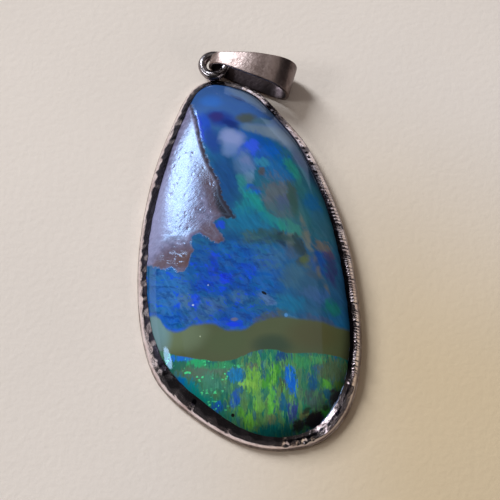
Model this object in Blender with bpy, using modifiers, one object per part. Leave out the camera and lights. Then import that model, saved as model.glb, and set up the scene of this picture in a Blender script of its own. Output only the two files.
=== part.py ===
"""Boulder opal pendant: a polished free-form stone in a silver bezel, with a soldered ring and a swinging bail.

The pendant lies on its back. +Y runs towards the ring, +Z out of the stone's face, and the origin is the
middle of the back plate's underside. Lengths are in millimetres until they are scaled by MM.
"""
import math

import bmesh
import bpy
import numpy as np

MM = 0.001
NAME = "boulder_opal_pendant"

# The strip's outer foot, clockwise from the ring, and how far the lip reaches in at each point: x, y, reach
OUTLINE = [
    (-3.10, 15.50, 0.76), (-1.05, 15.22, 0.82), (0.82, 14.28, 0.76), (2.82, 11.98, 0.64),
    (4.81, 9.25, 0.78), (6.52, 5.26, 0.86), (7.76, 1.03, 1.00), (8.41, -3.57, 0.95),
    (8.50, -8.00, 0.86), (7.71, -11.87, 0.92), (5.70, -14.50, 0.85), (2.60, -15.39, 0.68),
    (-0.62, -14.86, 0.80), (-3.84, -13.03, 1.02), (-6.68, -10.40, 1.05), (-7.99, -6.99, 0.78),
    (-8.52, -2.60, 0.68), (-8.36, 2.20, 0.74), (-7.45, 7.38, 0.90), (-6.05, 11.60, 0.76),
    (-4.75, 14.45, 0.72),
]

# Back plate
PLATE_THICK = 0.40
PLATE_OVERHANG = 0.10
PLATE_BEVEL = 0.05
PLATE_STATIONS = 90

# Silver strip: a thin wall whose upper part is pressed over the stone
WALL_THICK = 0.30
FOLD_HEIGHT = 1.02
FOLD_INSET = 0.16
LIP_THICK = 0.24
LIP_STEPS = 4
BEZEL_STATIONS = 150
HAMMER_DEPTH = 0.035
HAMMER_MARKS = (47, 31)
SEAT_GAP = 0.02
LIP_GAP = 0.035

# Stone
STONE_INSET = WALL_THICK + 0.04
STONE_BASE = PLATE_THICK + SEAT_GAP
GIRDLE_HEIGHT = 0.72
DOME_RISE = 2.30
DOME_POWER = 2.8
DOME_EDGE = 0.58
DOME_CENTRE = (0.2, -1.2)
STONE_SIDES = 84
DOME_RINGS = 22

# Ironstone patch: its border, how deep it lies under the polish, and its ripples and pits
PATCH = [
    (-5.6, 13.6), (-4.40, 11.9), (-3.86, 9.6), (-3.27, 7.7), (-2.62, 6.1), (-2.10, 4.4), (-0.96, 2.1),
    (-2.55, 1.8), (-1.95, 0.2), (-3.50, 0.6), (-4.30, -0.5), (-5.30, -2.1), (-6.4, -1.9), (-8.6, -1.4),
    (-8.6, 6.0),
]
PATCH_DEPTH = 0.08
PATCH_BORDER = 0.7
RIPPLE = 0.05
PITS = [(-4.9, 8.3, 0.55, 0.10), (-4.2, 5.2, 0.50, 0.09), (-5.9, -0.2, 0.60, 0.12), (-3.4, 2.6, 0.50, 0.10)]

# Ring: round wire, soldered to the strip's narrow end
RING_CENTRE = (-2.85, 16.68, 1.00)
RING_RADIUS = 0.95
RING_WIRE = 0.36
SOLDER_GAP = 0.02

# Bail: side view of its outer surface from the ring's centre, x along it, z up from the surface it lies on
BAIL_PROFILE = [
    (-0.34, 1.20), (-0.05, 2.30), (0.80, 2.95), (2.40, 3.30), (4.20, 3.40), (5.60, 3.20), (6.45, 2.55),
    (6.75, 1.50), (6.45, 0.50), (5.60, 0.02), (4.20, 0.00), (2.60, 0.00), (0.90, 0.05), (-0.05, 0.42),
]
BAIL_WIDTHS = [(-0.34, 0.84), (1.00, 1.15), (3.20, 1.90), (6.90, 2.70)]
BAIL_DROP = 0.842
BAIL_THICK = 0.30
BAIL_BEVEL = 0.05
BAIL_STATIONS = 56
BAIL_YAW = math.radians(-16)
BAIL_LEAN = math.radians(6)

SILVER = (0.62, 0.60, 0.60)
DARK_SILVER = (0.38, 0.35, 0.34)
OPAL_BLUE = (0.03, 0.13, 0.36)


def clear_scene():
    for item in list(bpy.data.objects):
        bpy.data.objects.remove(item, do_unlink=True)


def new_collection(name):
    collection = bpy.data.collections.new(name)
    bpy.context.scene.collection.children.link(collection)
    return collection


def new_material(name, colour, roughness, metallic):
    material = bpy.data.materials.new(name)
    material.use_nodes = True
    shader = material.node_tree.nodes["Principled BSDF"]
    shader.inputs["Base Color"].default_value = (*colour, 1)
    shader.inputs["Roughness"].default_value = roughness
    shader.inputs["Metallic"].default_value = metallic
    return material


def closed_spline(knots, count):
    """Evenly spaced rows along the smooth closed curve through the knots; x and y set the spacing."""
    steps = 40
    here = np.array(knots, float)
    before, after, beyond = (np.roll(here, shift, 0) for shift in (1, -1, -2))
    t = np.linspace(0, 1, steps, endpoint=False)[:, None, None]
    linear = (after - before) * t
    square = (2 * before - 5 * here + 4 * after - beyond) * t**2
    cube = (3 * here - before - 3 * after + beyond) * t**3
    dense = (0.5 * (2 * here + linear + square + cube)).transpose(1, 0, 2).reshape(-1, here.shape[1])
    closed = np.vstack([dense, dense[:1]])
    lengths = np.linalg.norm(np.diff(closed[:, :2], axis=0), axis=1)
    along = np.concatenate([[0], np.cumsum(lengths)])
    stops = np.linspace(0, along[-1], count, endpoint=False)
    return np.column_stack([np.interp(stops, along, column) for column in closed.T])


def inward(path):
    """Unit normals in plan, pointing into a clockwise closed path."""
    tangent = np.roll(path[:, :2], -1, 0) - np.roll(path[:, :2], 1, 0)
    tangent /= np.linalg.norm(tangent, axis=1)[:, None]
    return np.column_stack([tangent[:, 1], -tangent[:, 0]])


def outline(count, inset):
    """The strip's outline moved in by the inset, as x, y rows."""
    path = closed_spline(OUTLINE, count)
    return path[:, :2] + inward(path) * inset


def polar(points):
    """Angle in 0 to a full turn and distance of points about the dome's centre."""
    offset = np.atleast_2d(points)[:, :2] - DOME_CENTRE
    return np.mod(np.arctan2(offset[:, 1], offset[:, 0]), math.tau), np.hypot(offset[:, 0], offset[:, 1])


STONE_EDGE = outline(STONE_SIDES, STONE_INSET)


def spread(points):
    """How far out points lie: 0 at the dome's centre and 1 on the stone's edge."""
    edge_angle, edge_radius = polar(STONE_EDGE)
    angle, radius = polar(points)
    return radius / np.interp(angle, edge_angle, edge_radius, period=math.tau)


def dome_height(points):
    """Height of the polished dome, without the patch."""
    out = np.clip(spread(points), 0, 1)
    return GIRDLE_HEIGHT + DOME_RISE * (1 - out**DOME_POWER) ** DOME_EDGE


def smooth_step(value):
    value = np.clip(value, 0, 1)
    return value * value * (3 - 2 * value)


def patch_depth_in(points):
    """Distance inside the ironstone patch's border, 0 outside it."""
    start = np.array(PATCH)
    side = np.roll(start, -1, 0) - start
    to_point = points[:, None, :] - start
    share = np.clip((to_point * side).sum(2) / (side * side).sum(1), 0, 1)
    distance = np.linalg.norm(to_point - side * share[:, :, None], axis=2).min(1)
    above = start[:, 1] > points[:, 1:2]
    crosses = above != np.roll(above, -1, 1)
    rise = np.where(side[:, 1] == 0, 1, side[:, 1])
    left = points[:, :1] < start[:, 0] + (points[:, 1:2] - start[:, 1]) * side[:, 0] / rise
    inside = (crosses & left).sum(1) % 2 == 1
    return np.where(inside, distance, 0)


def relief(points):
    """Depth that the ironstone lies under the dome: its step, ripples and pits, none at the lip."""
    x, y = points.T
    within = smooth_step(patch_depth_in(points) / PATCH_BORDER)
    ripple = RIPPLE * np.sin(2.3 * x + 1.1 * y) * np.sin(1.4 * y - 0.8 * x)
    depth = within * (PATCH_DEPTH + ripple)
    for pit_x, pit_y, radius, pit_depth in PITS:
        depth += pit_depth * np.exp(-((x - pit_x) ** 2 + (y - pit_y) ** 2) / radius**2)
    return depth * smooth_step((1 - spread(points)) / 0.12)


def mesh_object(name, build, collection, material):
    """One object from a function that fills a bmesh in millimetres."""
    bm = bmesh.new()
    build(bm)
    bmesh.ops.recalc_face_normals(bm, faces=bm.faces)
    bmesh.ops.scale(bm, vec=(MM, MM, MM), verts=bm.verts)
    mesh = bpy.data.meshes.new(name)
    bm.to_mesh(mesh)
    bm.free()
    mesh.shade_smooth()
    mesh.set_sharp_from_angle(angle=math.radians(40))
    mesh.materials.append(material)
    item = bpy.data.objects.new(name, mesh)
    collection.objects.link(item)
    return item


def bridge(bm, rings, close):
    """Quads between successive rings of vertices, and from the last back to the first if close is true."""
    following = rings[1:] + rings[:1] if close else rings[1:]
    for ring, after in zip(rings, following):
        for i in range(len(ring)):
            j = (i + 1) % len(ring)
            bm.faces.new((ring[i], ring[j], after[j], after[i]))


def stone_rings():
    """Plan and height of each ring of the stone, from the base up to just short of the top."""
    yield np.column_stack([STONE_EDGE, np.full(STONE_SIDES, STONE_BASE)])
    for step in range(DOME_RINGS, 0, -1):
        out = math.sin(step / DOME_RINGS * math.pi / 2)
        plan = DOME_CENTRE + (STONE_EDGE - DOME_CENTRE) * out
        height = GIRDLE_HEIGHT + DOME_RISE * (1 - out**DOME_POWER) ** DOME_EDGE
        yield np.column_stack([plan, height - relief(plan)])


def build_stone(bm):
    rings = [[bm.verts.new(point) for point in ring] for ring in stone_rings()]
    bridge(bm, rings, close=False)
    bm.faces.new(rings[0])
    top = bm.verts.new((*DOME_CENTRE, GIRDLE_HEIGHT + DOME_RISE))
    for i, vertex in enumerate(rings[-1]):
        bm.faces.new((vertex, rings[-1][(i + 1) % STONE_SIDES], top))


def bezel_sections():
    """The strip's section at each station: up the outside, in along the lip, back under it and down."""
    path = closed_spline(OUTLINE, BEZEL_STATIONS)
    normals = inward(path)
    for index, (x, y, reach) in enumerate(path):
        turn = index / BEZEL_STATIONS * math.tau
        hammer = HAMMER_DEPTH * math.sin(HAMMER_MARKS[0] * turn) * math.sin(HAMMER_MARKS[1] * turn + 1)
        foot = np.array((x, y))
        insets = np.linspace(STONE_INSET + 0.02, reach, LIP_STEPS)
        under = dome_height(foot + normals[index] * insets[:, None]) + LIP_GAP
        section = [(0, PLATE_THICK), (0.04, 0.75), (FOLD_INSET, FOLD_HEIGHT + hammer)]
        section += [(inset - 0.05, height + LIP_THICK) for inset, height in zip(insets, under)][1:]
        section += [(reach + 0.02, under[-1] + LIP_THICK * 0.5)]
        section += list(zip(insets, under))[::-1]
        section += [(WALL_THICK, GIRDLE_HEIGHT - 0.12), (WALL_THICK, PLATE_THICK)]
        yield [(*(foot + normals[index] * inset), height) for inset, height in section]


def build_bezel(bm):
    bridge(bm, [[bm.verts.new(point) for point in section] for section in bezel_sections()], close=True)


def outline_object(name, count, inset, low, high, bevel, collection, material):
    """A flat solid of the outline: a filled 2D curve with an extrude of half its thickness."""
    curve = bpy.data.curves.new(name, "CURVE")
    curve.dimensions = "2D"
    curve.fill_mode = "BOTH"
    curve.extrude = (high - low) / 2 * MM - bevel * MM
    curve.bevel_depth = bevel * MM
    curve.bevel_resolution = 0
    spline = curve.splines.new("POLY")
    spline.points.add(count - 1)
    for point, (x, y) in zip(spline.points, outline(count, inset + bevel)):
        point.co = (x * MM, y * MM, 0, 1)
    spline.use_cyclic_u = True
    item = bpy.data.objects.new(name, curve)
    item.location.z = (low + high) / 2 * MM
    collection.objects.link(item)
    if material:
        curve.materials.append(material)
    return item


def as_mesh(item):
    """Replace a curve object by a welded mesh, so that a Boolean can use it."""
    bpy.context.view_layer.update()
    evaluated = item.evaluated_get(bpy.context.evaluated_depsgraph_get())
    mesh = bpy.data.meshes.new_from_object(evaluated)
    bm = bmesh.new()
    bm.from_mesh(mesh)
    bmesh.ops.remove_doubles(bm, verts=bm.verts, dist=0.001 * MM)
    bm.to_mesh(mesh)
    bm.free()
    name = item.name
    result = bpy.data.objects.new(name + "_mesh", mesh)
    result.matrix_world = item.matrix_world.copy()
    item.users_collection[0].objects.link(result)
    bpy.data.objects.remove(item, do_unlink=True)
    result.name = name
    return result


def make_plate(collection, material):
    plate = outline_object(
        "back_plate", PLATE_STATIONS, -PLATE_OVERHANG, 0, PLATE_THICK - SEAT_GAP, PLATE_BEVEL, collection, material
    )
    plate = as_mesh(plate)
    plate.data.shade_smooth()
    plate.data.set_sharp_from_angle(angle=math.radians(40))
    return plate


def make_ring(collection, cutters, material):
    bpy.ops.mesh.primitive_torus_add(
        major_segments=32,
        minor_segments=12,
        major_radius=RING_RADIUS * MM,
        minor_radius=RING_WIRE * MM,
        location=[value * MM for value in RING_CENTRE],
    )
    ring = bpy.context.object
    ring.name = "ring"
    ring.data.name = "ring"
    for old in list(ring.users_collection):
        old.objects.unlink(ring)
    collection.objects.link(ring)
    ring.data.materials.append(material)
    ring.data.shade_smooth()
    cutter = as_mesh(outline_object("strip_cutter", BEZEL_STATIONS, -SOLDER_GAP, -1, 3, 0, cutters, None))
    cutter.hide_render = True
    cutter.display_type = "WIRE"
    cut = ring.modifiers.new("solder_face", "BOOLEAN")
    cut.object = cutter
    return ring


def build_bail(bm):
    """The band's outer surface about the ring's centre: x along it, y across it, z up."""
    width_at, widths = zip(*BAIL_WIDTHS)
    profile = closed_spline(BAIL_PROFILE, BAIL_STATIONS)
    edges = []
    for side in (-0.5, 0.5):
        across = side * np.interp(profile[:, 0], width_at, widths)
        points = np.column_stack([profile[:, 0], across, profile[:, 1] - BAIL_DROP])
        edges.append([bm.verts.new(point) for point in points])
    bridge(bm, edges, close=False)


def make_bail(collection, material):
    bail = mesh_object("bail", build_bail, collection, material)
    bail.location = [value * MM for value in RING_CENTRE]
    bail.rotation_euler = (BAIL_LEAN, 0, BAIL_YAW)
    sheet = bail.modifiers.new("sheet", "SOLIDIFY")
    sheet.thickness = BAIL_THICK * MM
    sheet.offset = -1
    sheet.use_even_offset = True
    rounded = bail.modifiers.new("rounded", "BEVEL")
    rounded.width = BAIL_BEVEL * MM
    rounded.segments = 1
    rounded.limit_method = "ANGLE"
    rounded.angle_limit = math.radians(50)
    return bail


def main():
    clear_scene()
    parts = new_collection(NAME)
    cutters = new_collection("cutters")
    stone = new_material("boulder_opal", OPAL_BLUE, 0.08, 0.0)
    silver = new_material("burnished_silver", SILVER, 0.28, 1.0)
    tarnished = new_material("tarnished_silver", DARK_SILVER, 0.35, 1.0)
    mesh_object("opal", build_stone, parts, stone)
    mesh_object("bezel", build_bezel, parts, silver)
    make_plate(parts, silver)
    make_ring(parts, cutters, tarnished)
    make_bail(parts, tarnished)


main()
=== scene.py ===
"""Looks of the boulder opal pendant: stone, burnished bezel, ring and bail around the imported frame."""
import math
import random

import bmesh
import bpy
import numpy as np
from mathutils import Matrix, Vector, noise


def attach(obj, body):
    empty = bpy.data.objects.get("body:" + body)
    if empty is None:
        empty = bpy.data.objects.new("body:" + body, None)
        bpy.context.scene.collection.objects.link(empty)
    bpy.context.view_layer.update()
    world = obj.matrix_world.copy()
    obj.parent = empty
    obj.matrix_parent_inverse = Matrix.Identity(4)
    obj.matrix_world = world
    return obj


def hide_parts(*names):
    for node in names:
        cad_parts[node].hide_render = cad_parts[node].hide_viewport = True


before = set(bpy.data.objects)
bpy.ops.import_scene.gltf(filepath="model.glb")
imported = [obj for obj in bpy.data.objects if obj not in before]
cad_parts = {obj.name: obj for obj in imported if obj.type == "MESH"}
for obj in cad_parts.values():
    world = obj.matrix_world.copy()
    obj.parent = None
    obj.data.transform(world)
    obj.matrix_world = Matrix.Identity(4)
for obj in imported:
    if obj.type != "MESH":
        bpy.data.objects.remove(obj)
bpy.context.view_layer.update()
scene = bpy.context.scene

# Lengths are in millimetres, in the frame's axes, until they are scaled by MM
MM = 0.001

# The strip's outer foot, clockwise from the ring, and how far the lip reaches in at each point: x, y, reach
OUTLINE = [
    (-3.1, 15.5, 0.76), (-1.05, 15.22, 0.82), (0.82, 14.28, 0.76), (2.82, 11.98, 0.64),
    (4.81, 9.25, 0.78), (6.52, 5.26, 0.86), (7.76, 1.03, 1.0), (8.41, -3.57, 0.95),
    (8.5, -8.0, 0.86), (7.71, -11.87, 0.92), (5.7, -14.5, 0.85), (2.6, -15.39, 0.68),
    (-0.62, -14.86, 0.8), (-3.84, -13.03, 1.02), (-6.68, -10.4, 1.05), (-7.99, -6.99, 0.78),
    (-8.52, -2.6, 0.68), (-8.36, 2.2, 0.74), (-7.45, 7.38, 0.9), (-6.05, 11.6, 0.76),
    (-4.75, 14.45, 0.72),
]
PLATE_TOP = 0.40
SPLINE_STEPS = 120

# Silver strip
WALL_THICK = 0.30
FOLD_HEIGHTS = (0.78, 1.12)
FOLD_INSET = 0.14
LIP_SLOPE = math.radians(40)
LIP_EDGE = 0.04
LIP_CROWN = 0.02
LIP_ROWS = 16
LIP_GAP = 0.02
WALL_BULGE = 0.015
# Rows of the wall, as shares of the way up, and rows under the lip, as shares of the way in
WALL_ROWS = (0.15, 0.35, 0.55, 0.75, 0.9, 1.0)
UNDER_ROWS = (0.7, 0.4, 0.15, 0.03)
BEZEL_STATIONS = 1500
# Nicks where the pressing tool stopped on the fold: x, y, width, depth
NICKS = [
    (-5.54, -11.35, 0.22, 0.16), (-4.4, -12.5, 0.25, 0.15), (-7.41, -8.39, 0.2, 0.12),
    (-7.83, -6.73, 0.2, 0.12), (-8.38, -3.83, 0.22, 0.14), (-6.76, 7.99, 0.2, 0.1),
    (-6.9, 6.19, 0.2, 0.1), (-7.4, 3.66, 0.2, 0.1), (-7.95, 1.34, 0.22, 0.1),
    (-8.3, -0.78, 0.2, 0.1), (-3.2, -13.6, 0.22, 0.1), (-1.72, -14.35, 0.2, 0.08),
    (2.76, -15.4, 0.24, 0.22), (4.23, -15.15, 0.22, 0.2), (-6.88, -9.6, 0.2, 0.1),
    (3.32, -15.36, 0.1, 0.07), (3.7, -15.28, 0.16, 0.11), (4.85, -14.95, 0.13, 0.08),
]
# Pressed beads along the lip: fine on the right side, coarse in the upper right, stray ones elsewhere
FINE_PITCH = 0.27
COARSE_PITCH = 0.594
BEAD_SHARPNESS = 1.4
FINE_HEIGHT = 0.12
COARSE_HEIGHT = 0.072
STRAY_HEIGHT = 0.02
# The beads' place across the lip, from fold to inner edge: middle, its shift in the upper right, half width
BEAD_BAND = (0.36, 0.14, 0.25)
BEAD_END = 0.9
# Uneven work along the strip: pitch, row and seed of its noise
FOLD_WAVE = (1.1, 0.5, 2)
HAMMER_WAVE = (0.62, 4.5, 9)
BEAD_WAVE = (0.9, 8.5, 4)
HAMMER_HEIGHT = 0.045

# Stone
STONE_INSET = WALL_THICK + 0.04
STONE_CLEARANCE = 0.02
STONE_BASE = PLATE_TOP + 0.02
GIRDLE_HEIGHT = 0.72
DOME_RISE = 2.30
DOME_POWER = 2.8
DOME_EDGE = 0.58
DOME_CENTRE = (0.2, -1.2)
STONE_SIDES = 480
DOME_RINGS = 150

# Ironstone in the stone's upper left: its border, and the larger pits in its surface
IRONSTONE = [
    (-5.9, 14.3), (-4.78, 13.45), (-4.49, 12.4), (-4.22, 11.41), (-3.95, 10.28), (-3.77, 9.31),
    (-3.52, 8.35), (-3.27, 7.51), (-2.94, 6.67), (-2.62, 6.03), (-2.3, 5.4), (-2.14, 4.79), (-2.05, 4.09),
    (-1.74, 3.4), (-1.35, 2.79), (-0.88, 2.11), (-1.42, 2.03), (-2.04, 2.21), (-2.58, 1.97), (-2.65, 1.64),
    (-2.34, 1.21), (-2.03, 0.7), (-1.79, 0.2), (-2.25, 0.04), (-2.71, 0.13), (-3.1, 0.48), (-3.49, 0.66),
    (-3.72, 0.92), (-4.26, 0.7), (-4.48, 0.13), (-4.16, -0.47), (-4.46, -1.11), (-4.68, -1.75),
    (-4.98, -2.21), (-5.44, -2.17), (-5.84, -1.72), (-6.38, -1.89), (-6.94, -1.63), (-7.59, -1.31),
    (-9.5, -0.85), (-9.5, 8.0),
]
IRONSTONE_STEP = 0.02
IRONSTONE_BORDER = 0.9
# Noise in its surface: height, pitch, seed, turn in degrees, stretch along the turned direction
SWELL = (0.012, 1.7, 0)
GRAIN = (0.003, 0.5, 3)
SCRATCHES = (0.010, 0.15, 7, 54, 7)
SCRATCH_FLOOR = 0.0015
LOWER_RIDGES = (0.035, 0.36, 11, -12, 1.9)
UPPER_RIDGES = (0.008, 0.22, 17, 10, 2.2)
PITS = [
    (-5.76, 9.73), (-4.9, 8.2), (-4.37, 8.12), (-5.52, 7.8), (-5.95, 7.07), (-5.38, 5.83), (-5.9, 5.22),
    (-5.63, 5.35), (-4.01, 3.04), (-3.84, 2.98), (-4.67, 1.38), (-3.09, 5.1), (-6.15, 4.46), (-6.82, -0.17),
    (-5.4, -0.37), (-4.92, -0.91),
]
PIT_SIZE = (0.08, 0.045)
SMALL_PITS = 120
SMALL_PIT_RADII = (0.05, 0.08)
SMALL_PIT_DEPTH = 0.028
SMALL_PIT_AREA = ((-7.6, -2.6), (-1.5, 11))
PIT_SEED = 5

# Ring and bail
RING_CENTRE = (-2.85, 16.68, 1.00)
RING_RADIUS = 0.95
RING_WIRE = 0.36
RING_SIDES = 120
WIRE_SIDES = 28
SOLDER_SPREAD = 0.35
SOLDER_RISE = 0.25
BAIL_PROFILE = [
    (-0.34, 1.2), (-0.05, 2.3), (0.8, 2.95), (2.4, 3.3), (4.2, 3.4), (5.6, 3.2), (6.45, 2.55),
    (6.75, 1.5), (6.45, 0.5), (5.6, 0.02), (4.2, 0.0), (2.6, 0.0), (0.9, 0.05), (-0.05, 0.42),
]
BAIL_WIDTHS = [(-0.34, 0.84), (1.00, 1.15), (3.20, 1.90), (6.90, 2.70)]
BAIL_DROP = 0.842
BAIL_THICK = 0.30
BAIL_ROUNDING = 0.09
CORNER_STEPS = 5
BAIL_DENTS = 0.012
BAIL_STATIONS = 260
BAIL_YAW = math.radians(-16)
BAIL_LEAN = math.radians(6)

# Camera: it looks along +Y and down, at a point just off the origin
CAMERA_ELEVATION = math.radians(68)
CAMERA_DISTANCE = 105
CAMERA_TARGET = (0.12, 0.66, 0)
CLIP = (0.005, 10)
FRAME_PIXELS = 500
PIXELS_PER_MM = 12.7
SENSOR = 36

FLOOR_SIZE = 1.2


def closed_spline(knots, count):
    """Evenly spaced rows along the smooth closed curve through the knots; x and y set the spacing."""
    here = np.array(knots, float)
    before, after, beyond = (np.roll(here, shift, 0) for shift in (1, -1, -2))
    t = np.linspace(0, 1, SPLINE_STEPS, endpoint=False)[:, None, None]
    slope = (after - before) * t
    square = (2 * before - 5 * here + 4 * after - beyond) * t**2
    cube = (3 * here - before - 3 * after + beyond) * t**3
    dense = (0.5 * (2 * here + slope + square + cube)).transpose(1, 0, 2).reshape(-1, here.shape[1])
    closed = np.vstack([dense, dense[:1]])
    lengths = np.linalg.norm(np.diff(closed[:, :2], axis=0), axis=1)
    along = np.concatenate([[0], np.cumsum(lengths)])
    stops = np.linspace(0, along[-1], count, endpoint=False)
    return np.column_stack([np.interp(stops, along, column) for column in closed.T])


def inward(path):
    """Unit normals in plan, pointing into a clockwise closed path."""
    tangent = np.roll(path[:, :2], -1, 0) - np.roll(path[:, :2], 1, 0)
    tangent /= np.linalg.norm(tangent, axis=1)[:, None]
    return np.column_stack([tangent[:, 1], -tangent[:, 0]])


def polar(points):
    """Angle in 0 to a full turn and distance of points about the dome's centre."""
    offset = np.atleast_2d(points)[:, :2] - DOME_CENTRE
    return np.mod(np.arctan2(offset[:, 1], offset[:, 0]), math.tau), np.hypot(offset[:, 0], offset[:, 1])


def stone_edge():
    """The stone's widest outline in plan, just inside the strip's wall."""
    path = closed_spline(OUTLINE, STONE_SIDES)
    return path[:, :2] + inward(path) * STONE_INSET


STONE_EDGE = stone_edge()


def spread(points):
    """How far out points lie: 0 at the dome's centre and 1 on the stone's edge."""
    edge_angle, edge_radius = polar(STONE_EDGE)
    angle, radius = polar(points)
    return radius / np.interp(angle, edge_angle, edge_radius, period=math.tau)


def dome_profile(out):
    """Height of the polished dome at a share of the way out from its centre."""
    return GIRDLE_HEIGHT + DOME_RISE * (1 - out**DOME_POWER) ** DOME_EDGE


def dome_height(points):
    """Height of the polished dome over plan points, without the ironstone's relief."""
    return dome_profile(np.clip(spread(points), 0, 1))


def fade(value, start, end):
    """0 up to start, 1 from end on and smooth between; start may be the larger."""
    share = np.clip((value - start) / (end - start), 0, 1)
    return share * share * (3 - 2 * share)


def signed_distance(points, border):
    """Distance to a closed border, positive inside it."""
    start = np.array(border)
    side = np.roll(start, -1, 0) - start
    to_point = points[:, None, :] - start
    share = np.clip((to_point * side).sum(2) / (side * side).sum(1), 0, 1)
    distance = np.linalg.norm(to_point - side * share[:, :, None], axis=2).min(1)
    above = start[:, 1] > points[:, 1:2]
    crosses = above != np.roll(above, -1, 1)
    rise = np.where(side[:, 1] == 0, 1, side[:, 1])
    left = points[:, :1] < start[:, 0] + (points[:, 1:2] - start[:, 1]) * side[:, 0] / rise
    inside = (crosses & left).sum(1) % 2 == 1
    return np.where(inside, distance, -distance)


def noise_at(points, height, pitch, seed, turn=0, stretch=1):
    """Smooth noise of plan points, from -height to height; stretch lengthens it in the turned direction."""
    cos, sin = math.cos(math.radians(turn)), math.sin(math.radians(turn))
    along = (points[:, 0] * cos + points[:, 1] * sin) / (pitch * stretch)
    across = (points[:, 1] * cos - points[:, 0] * sin) / pitch
    return height * np.array([noise.noise(Vector((a, b, seed))) for a, b in zip(along, across)])


def noise_along(along, pitch, row, seed):
    """Smooth noise at distances along the strip, from -1 to 1."""
    return np.array([noise.noise(Vector((s / pitch, row, seed))) for s in along])


def ironstone_relief(points, inside):
    """Depth that the ironstone lies under the dome: its step, hollows, scratches and pits."""
    x, y = points.T
    depth = IRONSTONE_STEP + noise_at(points, *SWELL) + noise_at(points, *GRAIN)
    depth += np.clip(noise_at(points, *SCRATCHES) - SCRATCH_FLOOR, 0, None)
    depth += fade(y, 1.6, 0.2) * fade(inside, 0, 0.5) * noise_at(points, *LOWER_RIDGES)
    depth += fade(y, 6.5, 8.0) * noise_at(points, *UPPER_RIDGES)
    rows = [(*place, *PIT_SIZE) for place in PITS]
    draw = random.Random(PIT_SEED)
    for _ in range(SMALL_PITS):
        place = [draw.uniform(*limits) for limits in SMALL_PIT_AREA]
        rows.append((*place, draw.uniform(*SMALL_PIT_RADII), SMALL_PIT_DEPTH))
    for pit_x, pit_y, radius, deep in rows:
        across, along = x - pit_x, y - pit_y
        slanted = (across * 1.3 - along * 0.5) ** 2 + (along + across * 0.3) ** 2
        depth += deep * np.exp(-slanted / radius**2)
    return depth * fade(inside, 0, IRONSTONE_BORDER) * fade(spread(points), 1, 0.95)


def link_object(name, data):
    """A new object of the scene."""
    item = bpy.data.objects.new(name, data)
    scene.collection.objects.link(item)
    return item


def new_object(name, points, faces, body, replaced):
    """A smooth mesh piece from points in millimetres, riding on a body in place of a solid."""
    mesh = bpy.data.meshes.new(name)
    mesh.from_pydata((np.asarray(points) * MM).tolist(), [], faces)
    bm = bmesh.new()
    bm.from_mesh(mesh)
    bmesh.ops.recalc_face_normals(bm, faces=bm.faces)
    bm.to_mesh(mesh)
    bm.free()
    mesh.shade_smooth()
    item = link_object(name, mesh)
    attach(item, body)
    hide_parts(replaced)
    return item


def add_attribute(item, name, values):
    """Stores a number for each point of a piece, for its material to read."""
    attribute = item.data.attributes.new(name, "FLOAT", "POINT")
    attribute.data.foreach_set("value", np.asarray(values, np.float32))


def bridge(ring_count, size, close):
    """Quads between successive rings of points, and from the last back to the first if close is true."""
    faces = []
    for ring in range(ring_count if close else ring_count - 1):
        after = (ring + 1) % ring_count
        for i in range(size):
            j = (i + 1) % size
            faces.append((ring * size + i, ring * size + j, after * size + j, after * size + i))
    return faces


def make_stone():
    """The stone: a flat base, the girdle and rings of the dome, with the ironstone's relief sunk in them."""
    outs = [math.sin(step / DOME_RINGS * math.pi / 2) for step in range(DOME_RINGS, 0, -1)]
    plan = np.vstack([np.array(DOME_CENTRE) + (STONE_EDGE - DOME_CENTRE) * out for out in outs])
    out = np.repeat(outs, STONE_SIDES)
    height = dome_profile(out)
    inside = signed_distance(plan, IRONSTONE)
    near = inside > 0
    height[near] -= ironstone_relief(plan[near], inside[near])
    base = np.column_stack([STONE_EDGE, np.full(STONE_SIDES, STONE_BASE)])
    top = [(*DOME_CENTRE, GIRDLE_HEIGHT + DOME_RISE)]
    points = np.vstack([base, np.column_stack([plan, height]), top])
    faces = bridge(DOME_RINGS + 1, STONE_SIDES, close=False)
    faces.append(tuple(range(STONE_SIDES)))
    last = DOME_RINGS * STONE_SIDES
    faces += [(last + i, last + (i + 1) % STONE_SIDES, len(points) - 1) for i in range(STONE_SIDES)]
    stone = new_object("opal_stone", points, faces, "pendant", "opal")
    # The rim share is stored for the material, which paints shade near the edge with it.
    for name, at_base, values, at_centre in (("ironstone", -1, inside, -1), ("rim", 1, out, 0)):
        add_attribute(stone, name, np.concatenate([np.full(STONE_SIDES, at_base), values, [at_centre]]))
    return stone


def strip_regions(foot):
    """How much each station belongs to the strip's right side, its upper right and its lower right corner."""
    x, y = foot.T
    right = fade(x, 4.6, 5.8) * fade(y, -11.5, -10.0) * fade(y, 9.0, 6.0)
    upper = fade(x, -2.0, -0.5) * fade(y, 3.5, 6.0)
    corner = fade(x, 2.2, 3.7) * fade(y, -9.5, -11.0)
    return right, upper, corner


def bezel_marks(foot, along):
    """What the tools left at each station: nicks, fold wave, hammer wave, bead height, fine beads' shape."""
    x, y = foot.T
    nick = np.zeros(len(foot))
    for nick_x, nick_y, width, depth in NICKS:
        nick += depth * np.exp(-((x - nick_x) ** 2 + (y - nick_y) ** 2) / width**2)
    wave, facets, uneven = (noise_along(along, *form) for form in (FOLD_WAVE, HAMMER_WAVE, BEAD_WAVE))
    right, upper = strip_regions(foot)[:2]
    fine = np.abs(np.sin(np.pi * along / FINE_PITCH + 5 * uneven)) ** BEAD_SHARPNESS
    coarse = np.abs(np.sin(np.pi * along / COARSE_PITCH + 3 * uneven)) ** BEAD_SHARPNESS
    beads = FINE_HEIGHT * fine * right * (0.9 + 1.1 * uneven) + COARSE_HEIGHT * coarse * upper
    beads += STRAY_HEIGHT * (1 - np.maximum(right, upper)) * coarse * np.abs(uneven)
    return nick, wave, facets, beads, fine


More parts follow.
